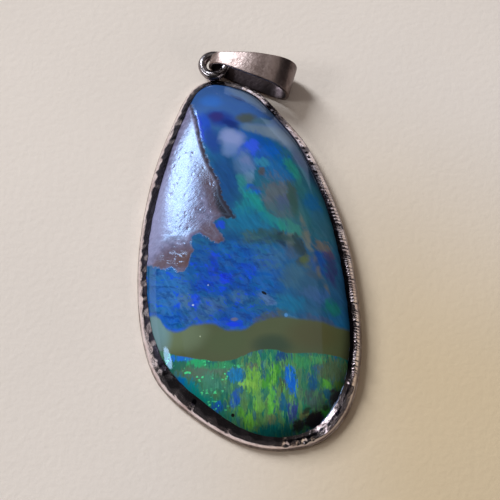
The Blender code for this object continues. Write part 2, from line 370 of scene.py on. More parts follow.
def patina_and_shade_at(foot, along, share, fine):
    """How dark the strip is at each station, for a share of the way from its fold to its inner edge: partly
    patina, mostly painted dark reflection on the lip, a painted brown reflection on the right side's wall and
    fold, painted shade between the beads, and a clean line kept in the lower right corner.
    """
    ragged = noise_along(along, 0.45, share * 1.5, 6)
    patches = noise_along(along, 0.8, share * 0.6, 21)
    low, lowest = fade(foot[:, 1], -5.0, -8.0), fade(foot[:, 1], -9.5, -11.5)
    brown_fold = 0.75 * fade(share, 0.16, 0.06)
    past_fold = fade(share, 0.06, 0.16)
    black = fade(share - 0.22 * low - 0.3 * ragged, 0.16, 0.26)
    left_black = black * (1 - 0.3 * fade(patches, 0.18, 0.38)) * (1 - 0.3 * lowest)
    rim = fade(share + 0.15 * ragged, 0.60, 0.68)
    bead_gaps = past_fold * fade(fine, 0.45, 0.15)
    right_black = np.maximum(np.maximum(brown_fold, rim), 0.8 * bead_gaps)
    upper_rim = fade(share, 0.78, 0.86)
    between_patches = fade(patches, 0.0, -0.16) * (1 - brown_fold)
    upper_black = np.maximum(max(brown_fold, upper_rim), 0.85 * between_patches)
    bright_line = fade(share + 0.2 * ragged, 0.55, 0.65)
    corner_black = np.maximum(black * (1 - bright_line), 0.5 * brown_fold)
    right, upper, corner = strip_regions(foot)
    left = 1 - np.maximum.reduce([right, upper, corner])
    blacks = [left_black, right_black, upper_black, corner_black]
    return np.average(blacks, axis=0, weights=[left, right, upper, corner])


def make_bezel():
    """The strip: up the outside, over the fold, in along the lip, back under it and down the inside."""
    path = closed_spline(OUTLINE, BEZEL_STATIONS)
    normals = inward(path)
    foot, reach = path[:, :2], path[:, 2]
    step = np.linalg.norm(np.roll(foot, -1, 0) - foot, axis=1)
    along = np.concatenate([[0], np.cumsum(step)[:-1]])
    nick, wave, facets, beads, fine = bezel_marks(foot, along)
    reach = reach + 0.04 * facets - 0.02 * wave
    right, upper = strip_regions(foot)[:2]
    fold_inset = (FOLD_INSET + 0.03 * wave) * (1 - 0.6 * np.maximum(right, upper)) + 0.7 * nick
    inner = dome_height(foot + normals * reach[:, None]) + LIP_GAP
    fold_height = inner + LIP_EDGE - (reach - FOLD_INSET) * math.tan(LIP_SLOPE)
    fold_height = np.clip(fold_height, *FOLD_HEIGHTS) + 0.03 * wave - 0.3 * nick
    rows = [(np.zeros_like(along), np.full_like(along, PLATE_TOP))]
    # The strip's dark mask: partly patina, mostly painted dark reflection and painted shade; the wall rows
    # take the fold's value.
    patina_and_painted_shade = [patina_and_shade_at(foot, along, 0.0, fine)] * (1 + len(WALL_ROWS))
    for share in WALL_ROWS:
        inset = fold_inset * share**2 - WALL_BULGE * math.sin(share * math.pi) + 0.012 * facets * share
        rows.append((inset, PLATE_TOP + (fold_height - PLATE_TOP) * share))
    bead_middle, bead_shift, bead_width = BEAD_BAND
    for share in np.linspace(0, 1, LIP_ROWS)[1:]:
        inset = fold_inset + (reach - fold_inset) * share
        line = fold_height + (inner + LIP_EDGE - fold_height) * share
        crown = LIP_CROWN * math.sin(math.pi * share)
        relief = 0
        if share < BEAD_END:
            bead = np.exp(-(((share - bead_middle - bead_shift * upper) / bead_width) ** 2))
            hump = math.sin(math.pi * min(1, share * 1.1)) ** 0.7
            relief = beads * bead + HAMMER_HEIGHT * facets * hump
        rows.append((inset, line + crown + relief))
        patina_and_painted_shade.append(patina_and_shade_at(foot, along, share, fine))
    edge_row = len(rows) - 1
    rows.append((reach + 0.004, inner))
    seat = STONE_INSET + STONE_CLEARANCE
    for share in UNDER_ROWS:
        inset = seat + (reach - seat) * share
        rows.append((inset, dome_height(foot + normals * inset[:, None]) + LIP_GAP))
    for height in (GIRDLE_HEIGHT - 0.1, PLATE_TOP):
        rows.append((np.full_like(along, WALL_THICK), np.full_like(along, height)))
    stations = [np.column_stack([foot + normals * inset[:, None], height]) for inset, height in rows]
    points = np.stack(stations, axis=1).reshape(-1, 3)
    faces = bridge(len(foot), len(rows), close=True)
    bezel = new_object("bezel_strip", points, faces, "pendant", "bezel")
    for edge in bezel.data.edges:
        first, second = (vertex % len(rows) for vertex in edge.vertices)
        edge.use_edge_sharp = first == second and first in (edge_row, edge_row + 1)
    # Painted shade: the rows under the lip and down the inside are made fully dark.
    patina_and_painted_shade += [np.ones_like(along)] * (len(rows) - len(patina_and_painted_shade))
    add_attribute(bezel, "patina_and_painted_shade", np.stack(patina_and_painted_shade, axis=1).ravel())
    return bezel


def make_ring():
    """A round-wire ring whose side by the strip spreads into its solder."""
    rows = []
    for i in range(RING_SIDES):
        turn = i / RING_SIDES * math.tau
        towards_strip = max(0.0, math.cos(turn + math.pi / 2))
        wire = RING_WIRE * (1 + 0.03 * math.sin(3 * turn))
        for j in range(WIRE_SIDES):
            lean = j / WIRE_SIDES * math.tau
            swell = 1 + SOLDER_SPREAD * towards_strip**6 * max(0.0, math.cos(lean)) ** 0.5
            out = RING_RADIUS + wire * swell * math.cos(lean)
            height = wire * math.sin(lean) * (1 + SOLDER_RISE * towards_strip**8)
            rows.append((out * math.cos(turn), out * math.sin(turn), height))
    faces = bridge(RING_SIDES, WIRE_SIDES, close=True)
    return new_object("ring_wire", np.array(rows) + RING_CENTRE, faces, "pendant", "ring")


def rounded_section(half_width):
    """The band's section with rounded corners: pairs of how far across and how deep from its outer face."""
    radius = BAIL_ROUNDING
    corners = ((1, -1, 0), (1, 1, 90), (-1, 1, 180), (-1, -1, 270))
    section = []
    for side, end, first in corners:
        centre_across = side * (half_width - radius)
        centre_depth = BAIL_THICK / 2 + end * (BAIL_THICK / 2 - radius)
        for step in range(CORNER_STEPS):
            turn = math.radians(first - 90 + 90 * step / (CORNER_STEPS - 1))
            section.append((centre_across + radius * math.cos(turn), centre_depth + radius * math.sin(turn)))
    return section


def make_bail():
    """The bail: a band swept along its loop, widening away from the ring."""
    profile = closed_spline(BAIL_PROFILE, BAIL_STATIONS)
    normals = inward(profile)
    width_at, widths = zip(*BAIL_WIDTHS)
    cos_yaw, sin_yaw = math.cos(BAIL_YAW), math.sin(BAIL_YAW)
    cos_lean, sin_lean = math.cos(BAIL_LEAN), math.sin(BAIL_LEAN)
    long_axis = np.array((cos_yaw, sin_yaw, 0))
    across_axis = np.array((-sin_yaw * cos_lean, cos_yaw * cos_lean, sin_lean))
    up_axis = np.array((sin_yaw * sin_lean, -cos_yaw * sin_lean, cos_lean))
    points, patina_and_painted_shade = [], []
    for (along, height), (in_along, in_height) in zip(profile[:, :2], normals):
        section = rounded_section(np.interp(along, width_at, widths) / 2)
        dent = BAIL_DENTS * noise.noise(Vector((along * 0.9, height * 0.9, 3)))
        for across, depth in section:
            place = long_axis * (along + in_along * (depth + dent))
            place = place + across_axis * across + up_axis * (height + in_height * (depth + dent) - BAIL_DROP)
            points.append(place)
            # Painted shade and dark reflection: the band's inner face and its far end are darkened through
            # the dark mask.
            inner_face, far_end = fade(depth / BAIL_THICK, 0.65, 0.9), fade(along, 5.2, 6.1)
            patina_and_painted_shade.append(max(0.9 * inner_face, 0.55 * far_end))
    size = len(points) // BAIL_STATIONS
    faces = bridge(BAIL_STATIONS, size, close=True)
    bail = new_object("bail_band", np.array(points) + RING_CENTRE, faces, "bail", "bail")
    add_attribute(bail, "patina_and_painted_shade", patina_and_painted_shade)
    return bail


def rgb(red, green, blue):
    """A colour of 0 to 255 values as the linear values that a shader takes."""
    def channel(value):
        value /= 255
        return value / 12.92 if value <= 0.04045 else ((value + 0.055) / 1.055) ** 2.4
    return (channel(red), channel(green), channel(blue), 1)


class Graph:
    """Adds shader nodes to a material, one short call each."""

    def __init__(self, name):
        self.material = bpy.data.materials.new(name)
        self.material.use_nodes = True
        self.tree = self.material.node_tree
        self.shader = self.tree.nodes["Principled BSDF"]
        place = self.add("ShaderNodeTexCoord").outputs["Object"]
        self.place = self.vector("SCALE", place, scale=1 / MM)
        self.x, self.y = self.split(self.place)[:2]
        self.plan = self.combined(self.x, self.y, 1)

    def add(self, kind, sockets=None, **settings):
        """A new node with its settings; the given sockets get a value each, or a link."""
        node = self.tree.nodes.new(kind)
        for key, value in settings.items():
            setattr(node, key, value)
        for key, value in (sockets or {}).items():
            self.feed(node.inputs[key], value)
        return node

    def feed(self, target, value):
        if isinstance(value, bpy.types.NodeSocket):
            self.tree.links.new(value, target)
        else:
            target.default_value = value

    def set(self, name, value):
        """Gives one of the shader's own sockets a value, or links it."""
        self.feed(self.shader.inputs[name], value)

    def split(self, value, kind="XYZ"):
        return self.add("ShaderNodeSeparate" + kind, {0: value}).outputs

    def math(self, operation, first, second=0.0, third=0.0):
        return self.add("ShaderNodeMath", {0: first, 1: second, 2: third}, operation=operation).outputs[0]

    def times(self, first, second):
        return self.math("MULTIPLY", first, second)

    def vector(self, operation, first, second=(0, 0, 0), scale=1.0):
        sockets = {0: first, "Scale": scale} if operation == "SCALE" else {0: first, 1: second}
        node = self.add("ShaderNodeVectorMath", sockets, operation=operation)
        return node.outputs["Value" if operation == "DOT_PRODUCT" else "Vector"]

    def combined(self, x, y, z):
        return self.add("ShaderNodeCombineXYZ", {0: x, 1: y, 2: z}).outputs[0]

    def mapped(self, vector, turn=0.0, size=(1, 1)):
        """The vector turned in plan and measured in the given lengths."""
        sockets = {"Vector": vector, "Rotation": (0, 0, math.radians(turn)), "Scale": (*size, 1)}
        return self.add("ShaderNodeMapping", sockets, vector_type="TEXTURE").outputs[0]

    def step(self, value, low, high, top=1.0):
        """0 below low, top above high and smooth between; low may be the larger."""
        sockets = {"Value": value, "From Min": low, "From Max": high, "To Max": top}
        return self.add("ShaderNodeMapRange", sockets, interpolation_type="SMOOTHSTEP").outputs["Result"]

    def noise(self, vector, pitch, detail=3.0, rough=0.5, colour=False):
        sockets = {"Vector": vector, "Scale": 1 / pitch, "Detail": detail, "Roughness": rough}
        return self.add("ShaderNodeTexNoise", sockets).outputs["Color" if colour else "Fac"]

    def warp(self, vector, pitch, amount, detail=2.0):
        """The vector pushed about in plan by noise."""
        values = self.split(self.noise(vector, pitch, detail, colour=True), "Color")[:2]
        push = [self.math("MULTIPLY_ADD", value, 2 * amount, -amount) for value in values]
        return self.vector("ADD", vector, self.combined(*push, 0))

    def blob(self, vector, place, size, turn, soft, top, torn=0.0):
        """top inside an ellipse, fading to 0 at its edge over a soft share of it; torn roughens the edge."""
        cos, sin = math.cos(math.radians(turn)), math.sin(math.radians(turn))
        across = []
        for (x, y), length in zip(((cos, sin), (-sin, cos)), size):
            axis = (x / length, y / length, -(x * place[0] + y * place[1]) / length)
            across.append(self.vector("DOT_PRODUCT", vector, axis))
        first, second = across
        square = self.math("MULTIPLY_ADD", first, first, self.math("MULTIPLY_ADD", second, second, torn))
        return self.step(square, 1.0, (1 - soft) ** 2, top)

    def line_offset(self, x, y, line):
        """How far y is above a line given by its x, y points."""
        xs, ys = zip(*line)
        low, high, floor, top = min(xs), max(xs), min(ys), max(ys)
        share = self.add("ShaderNodeMapRange", {"Value": x, "From Min": low, "From Max": high})
        curve = self.add("ShaderNodeFloatCurve", {"Value": share.outputs["Result"]})
        points = curve.mapping.curves[0].points
        while len(points) < len(line):
            points.new(0.5, 0.5)
        for point, (at, value) in zip(points, sorted(line)):
            point.location = ((at - low) / (high - low), (value - floor) / (top - floor))
        curve.mapping.update()
        level = self.times(curve.outputs[0], top - floor)
        return self.math("SUBTRACT", y, self.math("ADD", level, floor))

    def mix(self, share, under, over, blend="MIX"):
        node = self.add("ShaderNodeMix", data_type="RGBA", blend_type=blend)
        factor, first, second = [socket for socket in node.inputs if socket.enabled]
        self.feed(factor, share)
        self.feed(first, under)
        self.feed(second, over)
        return next(socket for socket in node.outputs if socket.enabled)

    def shade(self, colour, light):
        """The colour made lighter or darker by a factor."""
        grey = self.add("ShaderNodeCombineColor", {0: light, 1: light, 2: light}).outputs[0]
        return self.mix(1.0, colour, grey, "MULTIPLY")

    def mix_value(self, share, under, over):
        sockets = {"Factor": share, "A": under, "B": over}
        return self.add("ShaderNodeMix", sockets, data_type="FLOAT").outputs["Result"]

    def between(self, share, low, high):
        """A number that runs from low to high with the share."""
        sockets = {"Value": share, "To Min": low, "To Max": high}
        return self.add("ShaderNodeMapRange", sockets).outputs["Result"]

    def bump(self, height, distance, **below):
        """Normals with the height over them, on top of a bump below that is given as Normal."""
        return self.add("ShaderNodeBump", {"Height": height, "Distance": distance * MM, **below}).outputs[0]

    def attribute(self, name):
        return self.add("ShaderNodeAttribute", attribute_name=name).outputs["Fac"]

    def ramp(self, share, stops):
        """A colour that runs through the stops' colours with the share."""
        node = self.add("ShaderNodeValToRGB", {0: share})
        elements = node.color_ramp.elements
        while len(elements) < len(stops):
            elements.new(0.5)
        for element, (at, colour) in zip(elements, stops):
            element.position = at
            element.color = rgb(*colour)
        return node.outputs[0]


# Border of the olive potch band: its top from the left lip to the right one, then its bottom
BAND_TOP = [
    (-8.0, -5.3), (-7.08, -5.5), (-6.44, -6.24), (-5.89, -6.78), (-5.28, -6.92), (-4.22, -6.53),
    (-2.87, -6.43), (-1.67, -6.92), (-0.77, -6.97), (0.5, -6.4), (1.02, -6.25), (1.4, -6.1),
    (2.2, -5.95), (3.1, -5.95), (3.87, -6.05), (5.53, -6.19), (6.51, -6.48), (8.0, -6.58),
]
BAND_BOTTOM = [
    (-8.0, -7.5), (-6.25, -8.3), (-5.1, -8.73), (-3.6, -9.04), (-1.96, -9.25), (-0.47, -8.91),
    (0.27, -8.62), (1.61, -8.4), (3.09, -8.69), (4.73, -8.63), (5.71, -8.65), (8.0, -9.1),
]


# Soft ellipses of colour, laid in turn: x, y, half width, half height, turn, softness in percent, red, green,
# blue, strength in percent
GROUND = [
    (1.05, 4.09, 4.52, 5.0, 10, 90, 30, 100, 120, 90), (-0.94, -2.52, 5.0, 3.23, 0, 90, 6, 78, 172, 95),
    (-6.26, -3.69, 2.1, 3.39, 0, 90, 58, 116, 186, 90), (4.97, 3.99, 4.03, 6.77, 20, 90, 52, 98, 102, 95),
    (5.44, -2.83, 3.23, 4.19, 12, 90, 44, 84, 114, 90), (-1.75, 5.56, 1.37, 3.55, 10, 90, 20, 68, 124, 92),
    (2.07, -5.07, 2.9, 1.29, 0, 90, 38, 98, 130, 80),
]
SILK = [
    (0.12, 13.36, 2.74, 0.73, -30, 80, 100, 126, 158, 95),
    (1.09, 12.42, 1.94, 0.4, -38, 80, 104, 124, 150, 80),
    (-0.93, 13.24, 0.97, 0.18, -28, 90, 56, 76, 120, 90), (0.53, 12.51, 1.13, 0.16, -32, 90, 70, 96, 136, 70),
    (-2.95, 12.87, 1.29, 0.81, -10, 80, 58, 108, 186, 95),
    (-2.12, 11.01, 1.77, 0.97, -20, 80, 38, 58, 140, 95), (-2.52, 11.22, 0.81, 0.65, 0, 80, 56, 46, 112, 90),
    (-1.39, 10.53, 1.13, 0.48, -30, 80, 30, 44, 110, 85), (-3.4, 10.59, 0.48, 1.45, 18, 80, 36, 74, 190, 80),
    (-2.89, 9.04, 0.73, 1.77, 14, 80, 30, 62, 140, 90), (-0.12, 11.17, 1.05, 0.73, 0, 70, 80, 86, 74, 95),
    (1.08, 10.99, 1.13, 0.48, 10, 90, 78, 108, 120, 85), (1.24, 10.0, 2.26, 0.73, -12, 70, 112, 130, 146, 95),
    (3.0, 9.41, 1.61, 0.89, -48, 80, 98, 110, 130, 90), (4.25, 7.66, 1.53, 0.73, -58, 80, 66, 76, 104, 90),
    (5.02, 6.1, 1.45, 0.56, -62, 80, 44, 66, 90, 85),
]
HAZE = [
    (-1.31, 9.15, 1.3, 1.15, 0, 85, 138, 150, 198, 95), (-1.5, 8.1, 0.95, 0.85, 0, 90, 112, 136, 184, 80),
    (-0.4, 6.9, 1.0, 1.6, 10, 95, 94, 122, 168, 60), (2.3, 9.9, 1.7, 1.0, -40, 95, 132, 146, 160, 60),
    (5.2, 3.6, 1.6, 3.4, 16, 90, 34, 96, 118, 50), (4.4, -2.6, 1.8, 2.0, 12, 90, 58, 96, 120, 40),
    (3.2, 2.4, 2.2, 1.6, -30, 90, 56, 106, 108, 35), (3.5, 3.5, 0.45, 1.8, 8, 90, 46, 80, 70, 70),
    (2.7, 0.5, 1.5, 0.42, -8, 85, 38, 70, 68, 70), (3.8, -0.45, 0.5, 0.8, 30, 85, 44, 62, 60, 75),
    (4.35, -1.3, 0.5, 0.35, 15, 80, 88, 100, 48, 75),
]
PLAY = [
    (0.52, 8.11, 3.15, 1.68, -25, 80, 22, 84, 176, 90), (0.2, 8.37, 0.84, 0.73, -20, 60, 48, 86, 226, 95),
    (-0.43, 7.89, 0.63, 0.52, 0, 70, 36, 78, 200, 80), (1.7, 8.02, 0.94, 0.73, -30, 70, 20, 96, 190, 85),
    (2.4, 6.21, 2.1, 1.57, -50, 80, 18, 98, 156, 90), (1.07, 7.03, 0.84, 0.52, -20, 70, 48, 132, 156, 80),
    (-0.11, 6.81, 0.73, 1.68, 12, 80, 88, 120, 164, 90), (-0.04, 7.17, 0.52, 0.52, 0, 70, 120, 126, 172, 85),
    (0.04, 5.56, 0.63, 0.94, 8, 80, 100, 136, 160, 85), (-0.42, 5.03, 0.52, 1.36, 14, 80, 46, 134, 130, 85),
    (0.28, 4.51, 0.84, 0.63, -20, 70, 10, 92, 196, 90), (0.59, 3.39, 1.89, 0.58, -50, 70, 26, 148, 136, 88),
    (-0.19, 2.96, 1.05, 0.94, -30, 80, 24, 130, 140, 80), (1.06, 6.22, 0.31, 0.42, 0, 60, 84, 72, 66, 85),
    (1.37, 4.89, 0.31, 1.89, -76, 80, 64, 92, 104, 70), (3.51, 6.43, 1.57, 0.47, -60, 70, 44, 134, 114, 90),
    (4.11, 4.76, 1.36, 0.73, -70, 80, 58, 112, 102, 80), (2.37, 3.88, 1.57, 2.52, 14, 70, 94, 100, 102, 95),
    (2.68, 3.46, 0.84, 0.94, 0, 80, 76, 84, 116, 85), (3.47, 4.14, 0.52, 1.78, 12, 80, 64, 80, 60, 90),
    (1.82, 2.64, 0.63, 1.05, 20, 80, 70, 96, 100, 70), (5.03, 3.46, 0.94, 1.57, 16, 70, 22, 86, 150, 90),
    (5.55, 1.94, 0.94, 1.47, 14, 80, 62, 98, 108, 85), (4.31, 2.64, 0.63, 1.26, 14, 80, 56, 104, 100, 80),
    (1.89, 1.88, 1.47, 0.63, -28, 70, 24, 138, 138, 90), (3.43, 1.26, 1.36, 0.73, -36, 70, 56, 136, 112, 90),
    (2.51, 1.47, 0.63, 0.42, -30, 70, 30, 140, 120, 80), (-0.11, 1.77, 2.1, 1.26, -15, 80, 20, 112, 150, 80),
    (1.19, 0.52, 2.2, 0.84, 2, 50, 50, 84, 78, 95), (0.12, 0.6, 0.84, 0.42, -10, 70, 70, 104, 96, 70),
    (2.57, 0.3, 0.42, 0.94, 10, 70, 36, 50, 44, 95), (3.26, 0.16, 0.63, 1.15, 12, 70, 92, 102, 88, 95),
    (3.95, -0.14, 0.52, 1.36, 14, 70, 44, 56, 50, 92), (4.5, 0.41, 0.42, 1.47, 14, 80, 104, 108, 92, 80),
    (3.33, -0.67, 0.94, 0.63, -20, 80, 66, 88, 112, 80), (4.47, -1.43, 0.84, 0.73, -10, 70, 84, 94, 58, 95),
    (3.93, -1.47, 0.42, 0.63, 0, 80, 52, 60, 52, 80), (5.74, -0.03, 1.05, 0.63, -24, 80, 112, 102, 88, 90),
    (6.11, -0.65, 0.63, 0.52, 0, 80, 104, 76, 80, 85), (5.39, -1.51, 0.94, 1.26, 10, 80, 30, 72, 146, 85),
    (6.32, -1.71, 0.63, 1.78, 8, 80, 56, 58, 100, 85), (4.91, -2.39, 0.73, 0.52, -30, 80, 66, 72, 82, 80),
    (1.49, -1.21, 1.57, 1.47, -10, 80, 62, 108, 140, 85),
    (0.73, -0.39, 1.26, 0.63, -10, 80, 40, 108, 148, 80), (-0.94, -1.05, 1.78, 1.05, -8, 80, 8, 92, 178, 85),
    (-0.11, -2.19, 1.15, 0.73, -5, 70, 4, 70, 206, 90), (-1.69, -2.83, 0.73, 0.63, 0, 50, 16, 46, 246, 95),
    (-2.69, -1.76, 0.52, 1.26, 8, 80, 18, 44, 196, 90), (-2.26, 1.46, 0.52, 0.42, 0, 70, 26, 70, 214, 90),
    (-1.56, -0.3, 0.84, 0.73, 0, 80, 28, 112, 164, 80), (-3.21, -3.2, 1.26, 1.05, 0, 80, 8, 62, 196, 85),
    (1.1, -3.16, 1.05, 1.26, 0, 80, 8, 98, 176, 85), (3.23, -2.56, 1.36, 1.15, -12, 80, 64, 104, 124, 85),
    (2.9, -4.74, 1.78, 0.84, -10, 80, 24, 112, 148, 85), (5.11, -4.08, 1.36, 0.84, -16, 80, 62, 96, 142, 85),
    (6.39, -5.07, 0.94, 0.84, -50, 80, 30, 112, 98, 90), (5.24, -5.43, 1.47, 0.42, -20, 80, 44, 92, 120, 80),
    (1.4, -4.52, 0.84, 0.42, -30, 70, 96, 126, 166, 85), (-3.95, -4.6, 0.63, 0.63, 0, 60, 24, 66, 232, 90),
    (-2.58, -5.05, 1.36, 0.94, 0, 80, 76, 112, 156, 85), (-0.78, -4.28, 0.94, 0.52, -8, 80, 74, 120, 160, 70),
    (-4.86, -4.55, 0.94, 0.84, 0, 80, 94, 130, 160, 70), (-5.78, -4.38, 0.73, 2.31, 2, 80, 60, 120, 194, 70),
    (-5.6, -5.96, 1.47, 0.73, 0, 80, 30, 96, 196, 85), (-3.63, -5.95, 1.68, 0.73, -6, 80, 64, 110, 166, 80),
    (-0.78, -5.7, 2.1, 0.84, -2, 80, 8, 86, 180, 85), (-1.67, -6.31, 0.84, 0.42, 0, 70, 6, 74, 214, 85),
    (0.2, -6.01, 1.26, 0.63, 10, 80, 10, 80, 176, 80), (1.62, -6.02, 1.68, 0.73, 4, 80, 84, 84, 62, 90),
    (3.19, -6.0, 0.73, 0.31, -24, 80, 60, 126, 170, 70), (5.22, -6.06, 1.89, 0.42, -16, 80, 68, 84, 112, 80),
]
OLIVE = [
    (-5.2, -7.2, 2.8, 1.7, 0, 95, 112, 124, 92, 95), (-7.0, -6.6, 1.5, 2.6, 10, 90, 118, 150, 152, 95),
    (-1.6, -7.9, 2.2, 1.3, 0, 95, 88, 98, 62, 85), (1.8, -8.1, 2.0, 1.1, 0, 95, 62, 76, 54, 90),
    (4.8, -7.2, 2.6, 1.5, 0, 95, 92, 88, 54, 90), (1.6, -5.4, 1.3, 0.8, 0, 80, 82, 82, 62, 85),
]
GREEN = [
    (-4.9, -8.95, 1.2, 0.32, -6, 60, 40, 118, 214, 95), (-3.4, -10.0, 3.2, 0.55, 3, 80, 94, 120, 98, 95),
    (-3.75, -9.3, 0.85, 0.38, 0, 50, 46, 180, 110, 95), (-1.9, -9.6, 1.7, 0.34, -2, 70, 54, 148, 94, 90),
    (-4.7, -11.2, 1.7, 1.1, -30, 60, 6, 138, 160, 95), (-3.5, -11.9, 1.5, 0.9, -35, 80, 14, 144, 126, 85),
    (-5.3, -10.6, 0.7, 0.5, 0, 70, 10, 112, 190, 80), (-2.9, -10.9, 0.9, 1.0, 0, 80, 74, 140, 112, 90),
    (-2.2, -12.6, 0.6, 0.5, 0, 70, 30, 88, 180, 85), (-1.2, -11.2, 0.9, 0.9, 0, 80, 66, 124, 98, 85),
    (-0.85, -10.4, 0.7, 0.7, 0, 70, 22, 124, 186, 90), (-1.0, -12.0, 0.4, 0.9, -10, 70, 34, 90, 186, 85),
    (-1.6, -13.2, 0.7, 0.6, 0, 70, 40, 128, 100, 70), (0.35, -9.7, 0.6, 0.4, 0, 70, 104, 110, 88, 80),
    (0.4, -10.7, 0.95, 1.1, 0, 60, 120, 182, 66, 95), (0.0, -11.0, 0.9, 0.28, 0, 60, 140, 196, 76, 90),
    (1.75, -10.5, 0.55, 1.5, -24, 60, 72, 154, 46, 95), (1.7, -12.2, 0.36, 1.2, -3, 60, 96, 188, 72, 95),
    (0.8, -12.3, 0.4, 1.1, 3, 70, 112, 170, 78, 90), (3.2, -10.7, 0.5, 1.15, 10, 50, 10, 110, 218, 100),
    (2.4, -8.95, 0.6, 0.5, 0, 70, 16, 66, 126, 85), (1.4, -8.9, 0.7, 0.6, 0, 70, 24, 122, 96, 85),
    (2.5, -11.0, 0.35, 0.6, 0, 70, 78, 92, 48, 80), (3.3, -12.9, 0.5, 1.0, 5, 70, 62, 72, 140, 90),
    (2.6, -12.5, 0.4, 0.9, 0, 70, 20, 96, 140, 80), (4.7, -10.8, 0.5, 0.9, 0, 70, 16, 84, 134, 90),
    (5.2, -9.9, 0.5, 0.5, 0, 70, 40, 96, 150, 80), (3.9, -9.3, 1.0, 0.6, -10, 70, 62, 146, 84, 90),
    (5.2, -9.2, 0.7, 0.4, 0, 70, 82, 168, 92, 80), (6.3, -9.9, 1.5, 1.3, -10, 70, 88, 108, 76, 95),
    (5.8, -10.9, 0.45, 0.45, 0, 70, 96, 176, 66, 90), (6.8, -10.9, 0.6, 0.5, 0, 80, 84, 116, 44, 90),
    (4.9, -12.1, 1.3, 0.8, -30, 80, 70, 92, 84, 90), (0.1, -13.6, 0.6, 0.9, 25, 60, 108, 178, 62, 95),
    (-0.6, -13.0, 0.4, 0.6, 30, 70, 90, 160, 60, 80), (1.7, -14.4, 1.9, 0.7, 5, 80, 6, 112, 108, 95),
    (1.7, -13.5, 0.5, 0.4, 0, 70, 120, 128, 84, 80), (4.1, -13.2, 0.5, 0.4, 40, 70, 116, 116, 70, 80),
    (5.7, -13.0, 0.4, 0.6, 0, 70, 60, 168, 50, 85),
]
BLOTCHES = [
    (4.9, -13.5, 1.0, 0.75, 25, 50, 38, 26, 26, 97), (3.7, -13.95, 0.6, 0.5, 35, 50, 42, 34, 32, 92),
    (6.6, -11.9, 0.75, 0.9, 20, 50, 56, 46, 50, 92), (4.3, -12.85, 0.4, 0.3, 35, 60, 44, 48, 40, 80),
    (5.7, -12.6, 0.35, 0.3, 0, 60, 50, 46, 42, 80),
]
FLECKS = [
    (-1.15, -13.15, 0.17, 0.17, 0, 50, 30, 26, 24, 100), (1.18, -4.04, 0.25, 0.12, -34, 30, 8, 8, 14, 100),
    (-4.17, -4.91, 0.11, 0.09, 0, 50, 190, 205, 235, 90),
    (-3.05, -3.37, 0.08, 0.08, 0, 50, 170, 190, 230, 80), (2.82, -5.77, 0.16, 0.18, 0, 50, 90, 150, 210, 90),
    (-1.15, -6.5, 0.65, 0.24, -4, 60, 20, 64, 236, 95), (-1.05, -6.1, 0.35, 0.18, 0, 80, 124, 116, 132, 80),
    (-3.6, -7.35, 0.06, 0.06, 0, 40, 190, 200, 160, 90),
]
# The first row is a painted pale lavender sheen over the ironstone's left side; the other rows are its own
# browns, a blue spot and a dark wedge.
BROWN = [
    (-7.2, 3.0, 1.6, 5.0, -8, 90, 146, 142, 176, 75), (-5.2, -1.0, 2.6, 1.3, 0, 80, 92, 64, 66, 90),
    (-4.9, -1.2, 0.9, 0.8, 0, 80, 96, 62, 48, 85), (-3.0, 0.9, 1.1, 1.3, 0, 70, 100, 76, 82, 85),
    (-3.0, 5.4, 0.9, 4.6, 13, 60, 92, 72, 80, 95), (-2.2, 0.3, 0.5, 0.5, 0, 80, 92, 56, 54, 85),
    (-1.65, 3.1, 0.95, 2.4, 24, 50, 32, 25, 28, 97), (-3.9, 11.6, 0.6, 1.8, 18, 70, 84, 62, 70, 85),
    (-3.9, 0.6, 0.6, 0.4, 0, 70, 60, 56, 150, 85), (-6.7, -1.3, 1.0, 0.4, 0, 80, 96, 70, 70, 80),
]
# The tan crack in the right of the stone: y, x
CRACK = [(-5.0, 6.6), (-3.96, 6.19), (-2.42, 5.45), (-0.01, 4.75), (1.6, 4.3), (2.9, 3.95)]


def ellipses(g, colour, rows, vector, torn=0.0):
    """Lays rows of soft ellipses of colour over what is there, their edges torn by a number that varies."""
    for x, y, wide, high, turn, soft, *over, strength in rows:
        share = g.blob(vector, (x, y), (wide, high), turn, soft / 100, strength / 100, torn)
        colour = g.mix(share, colour, rgb(*over))
    return colour


def tears(g, vector, turn, stretch, pitch, depth):
    """A streaky number about zero, to tear the edges of ellipses with."""
    streaks = g.noise(g.mapped(vector, turn, stretch), pitch, 4, 0.65)
    return g.math("MULTIPLY_ADD", streaks, depth, -0.5 * depth)


def cells(g, vector, pitch, stretch, turn):
    """Three random values for each irregular patch of the vector's plane."""
    sockets = {"Vector": g.mapped(vector, turn, stretch), "Scale": 1 / pitch, "Smoothness": 0.35}
    node = g.add("ShaderNodeTexVoronoi", sockets, feature="SMOOTH_F1")
    return g.split(node.outputs["Color"], "Color")


def play_of_colour(g, colour, ragged):
    """Blue and teal patches that break the colour up, with streaks that run down to the right."""
    hue = cells(g, ragged, 0.45, (1.7, 0.7), -25)[0]
    tones = g.ramp(hue, [
        (0.0, (6, 50, 140)), (0.25, (16, 84, 170)), (0.5, (58, 100, 140)),
        (0.7, (18, 104, 150)), (1.0, (10, 66, 150)),
    ])
    lower = g.step(g.y, 9.2, 7.0)
    middle = g.times(g.step(g.y, 1.5, -0.5), g.step(g.x, 3.6, 1.2))
    colour = g.mix(g.math("MULTIPLY_ADD", middle, 0.26, 0.06), colour, tones)
    flecks = g.noise(g.mapped(ragged, -20, (1.7, 0.8)), 0.4, 3, 0.6)
    electric = g.times(g.step(flecks, 0.56, 0.66), g.step(g.y, 0.5, -1.0))
    electric = g.times(electric, g.step(g.x, 2.5, 0.0))
    colour = g.mix(g.times(electric, 0.6), colour, rgb(10, 68, 232))
    dark = g.times(g.step(flecks, 0.46, 0.36), middle)
    colour = g.mix(g.times(dark, 0.45), colour, rgb(6, 44, 112))
    streaks = g.noise(g.mapped(g.warp(g.plan, 1.4, 0.3), -60, (3.6, 0.6)), 0.42, 2, 0.5)
    return g.mix(lower, colour, g.shade(colour, g.between(streaks, 0.6, 1.4)))


